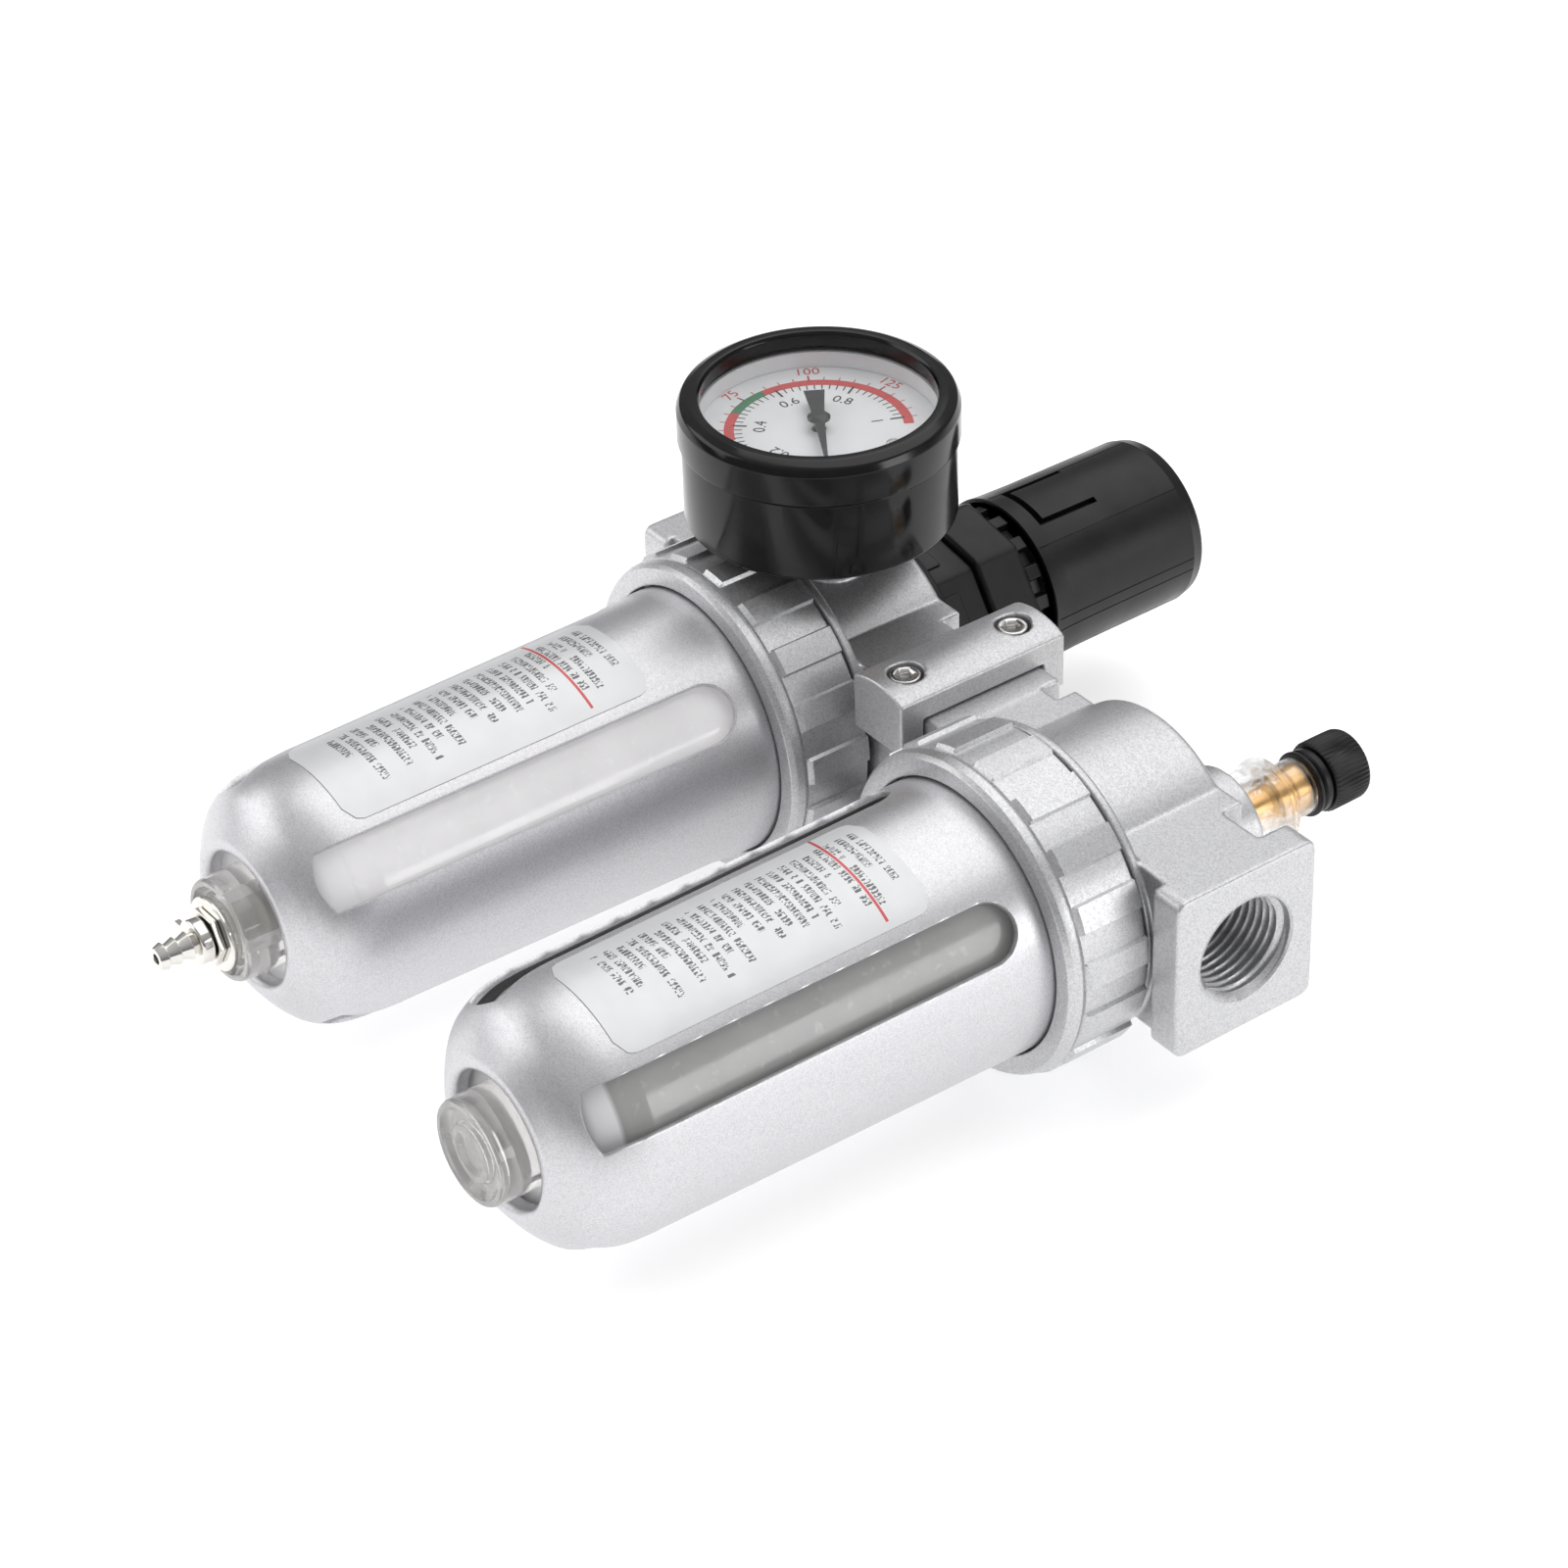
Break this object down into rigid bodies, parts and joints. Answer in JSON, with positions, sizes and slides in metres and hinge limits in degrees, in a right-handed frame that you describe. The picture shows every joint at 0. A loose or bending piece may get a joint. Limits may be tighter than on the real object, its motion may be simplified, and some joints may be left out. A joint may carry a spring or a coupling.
{
  "type": "filter regulator lubricator",
  "caption": "Modular air preparation set: a filter regulator with gauge and knob clamped to a mist lubricator, each with a guarded bowl and threaded air port.",
  "frame": {"origin": "bottom centre of the bounding box, with the unit lying on its back on two collar rings", "axes": "X runs along the air line from inlet at -X to outlet at +X, +Y points from the bowls to the pressure knob, +Z is the gauge side"},
  "size_m": [0.159, 0.232, 0.0917],
  "materials": {
    "casting_paint": "silver metallic paint over a die casting, slightly coarse",
    "ring_paint": "silver metallic paint, fine sparkle",
    "guard_paint": "silver metallic paint on a pressed guard",
    "bar_paint": "coarse silver die-cast paint",
    "label_film": "printed film, wording left out",
    "clear_bowl": "clear smoky polycarbonate",
    "clear_lens": "clear flat window",
    "clear_dome": "clear polycarbonate",
    "black_knob": "satin black moulding",
    "black_bonnet": "satin black moulding",
    "gauge_black": "semi-gloss black",
    "dial_white": "white printed dial",
    "white_plastic": "white moulding",
    "element": "porous sintered white plastic",
    "rubber": "nitrile rubber",
    "bright_steel": "bright plated steel",
    "drain_chrome": "chrome plated",
    "spring_steel": "drawn wire",
    "brass": "turned brass"
  },
  "bodies": {
    "unit": {"fr_body": "casting_paint", "lub_body": "casting_paint", "joint_seal_plate": "rubber", "front_clamp_bar": "bar_paint", "rear_clamp_bar": "bar_paint", "clamp_screw_lower": "bright_steel", "clamp_screw_upper": "bright_steel", "fr_bonnet": "black_bonnet", "fr_lock_ring": "black_bonnet", "fr_element_stud": "white_plastic", "fr_filter_element": "element", "fr_swirl_vane": "white_plastic", "fr_baffle": "white_plastic", "fr_rear_gauge_plug": "bright_steel", "gauge_stem": "brass", "gauge_case": "gauge_black", "gauge_bezel": "gauge_black", "gauge_lens": "clear_lens", "gauge_dial": "dial_white", "gauge_bourdon_tube": "brass", "fr_regulating_spring": "spring_steel", "fr_poppet_spring": "spring_steel", "lub_fill_plug": "bright_steel", "lub_sight_dome": "clear_dome", "lub_sight_dome_seal": "rubber", "lub_drip_insert": "brass", "lub_knob_collar": "black_knob", "lub_siphon_tube": "clear_dome", "lub_siphon_strainer": "brass", "lub_flow_vane": "white_plastic"},
    "fr_bowl_set": {"fr_bowl_guard": "guard_paint", "fr_bowl": "clear_bowl", "fr_bowl_seal": "rubber", "fr_label": "label_film", "fr_drain_seat": "drain_chrome"},
    "fr_ring": {"fr_collar_ring": "ring_paint"},
    "fr_drain": {"fr_drain_valve": "drain_chrome"},
    "lub_bowl_set": {"lub_bowl_guard": "guard_paint", "lub_bowl": "clear_bowl", "lub_bowl_seal": "rubber", "lub_label": "label_film"},
    "lub_ring": {"lub_collar_ring": "ring_paint"},
    "adjusting_spindle": {"fr_adjusting_screw": "bright_steel"},
    "pressure_knob": {"regulator_knob": "black_knob"},
    "seat": {"fr_spring_seat": "bright_steel"},
    "piston": {"fr_regulating_piston": "white_plastic"},
    "poppet": {"fr_valve_poppet": "brass"},
    "pointer": {"gauge_pointer": "gauge_black"},
    "drip_knob": {"oil_adjust_knob": "black_knob"}
  },
  "joints": [
    {"name": "fr_bowl_drop", "type": "slide", "parent": "unit", "child": "fr_bowl_set", "axis": [0, -1, 0], "range_m": [0, 0.0076]},
    {"name": "fr_ring_turn", "type": "hinge", "parent": "fr_bowl_set", "child": "fr_ring", "pos_m": [-0.04, 0.011, 0.0321], "axis": [0, -1, 0], "range_deg": [0, 1800]},
    {"name": "fr_drain_turn", "type": "hinge", "parent": "fr_bowl_set", "child": "fr_drain", "pos_m": [-0.04, -0.107, 0.0321], "axis": [0, -1, 0], "range_deg": [0, 270]},
    {"name": "lub_bowl_drop", "type": "slide", "parent": "unit", "child": "lub_bowl_set", "axis": [0, -1, 0], "range_m": [0, 0.0076]},
    {"name": "lub_ring_turn", "type": "hinge", "parent": "lub_bowl_set", "child": "lub_ring", "pos_m": [0.04, 0.011, 0.0321], "axis": [0, -1, 0], "range_deg": [0, 1800]},
    {"name": "spindle_turn", "type": "hinge", "parent": "unit", "child": "adjusting_spindle", "pos_m": [-0.04, 0.076, 0.0321], "axis": [0, 1, 0], "range_deg": [-720, 720]},
    {"name": "knob_push_pull", "type": "slide", "parent": "adjusting_spindle", "child": "pressure_knob", "axis": [0, 1, 0], "range_m": [-0.0022, 0]},
    {"name": "spring_seat_travel", "type": "slide", "parent": "unit", "child": "seat", "axis": [0, -1, 0], "range_m": [-0.00301, 0.00301], "deforming": ["fr_regulating_spring"]},
    {"name": "piston_travel", "type": "slide", "parent": "unit", "child": "piston", "axis": [0, -1, 0], "range_m": [0, 0.0014], "stiffness_N_per_m": 1500},
    {"name": "poppet_travel", "type": "slide", "parent": "unit", "child": "poppet", "axis": [0, -1, 0], "range_m": [0, 0.0015], "deforming": ["fr_poppet_spring"]},
    {"name": "pointer_sweep", "type": "hinge", "parent": "unit", "child": "pointer", "pos_m": [-0.0407, 0.0343, 0.0851], "axis": [0, 0, -1], "range_deg": [0, 270], "stiffness_Nm_per_rad": 0.0003},
    {"name": "drip_knob_turn", "type": "hinge", "parent": "unit", "child": "drip_knob", "pos_m": [0.0483, 0.084, 0.0324], "axis": [0, 1, 0], "range_deg": [0, 1080]}
  ],
  "couplings": [
    {"joint": "fr_bowl_drop", "follows": "fr_ring_turn", "m_per_rad": 0.00023873},
    {"joint": "lub_bowl_drop", "follows": "lub_ring_turn", "m_per_rad": 0.00023873},
    {"joint": "spring_seat_travel", "follows": "spindle_turn", "m_per_rad": 0.00023873},
    {"joint": "poppet_travel", "follows": "piston_travel", "ratio": 1}
  ]
}
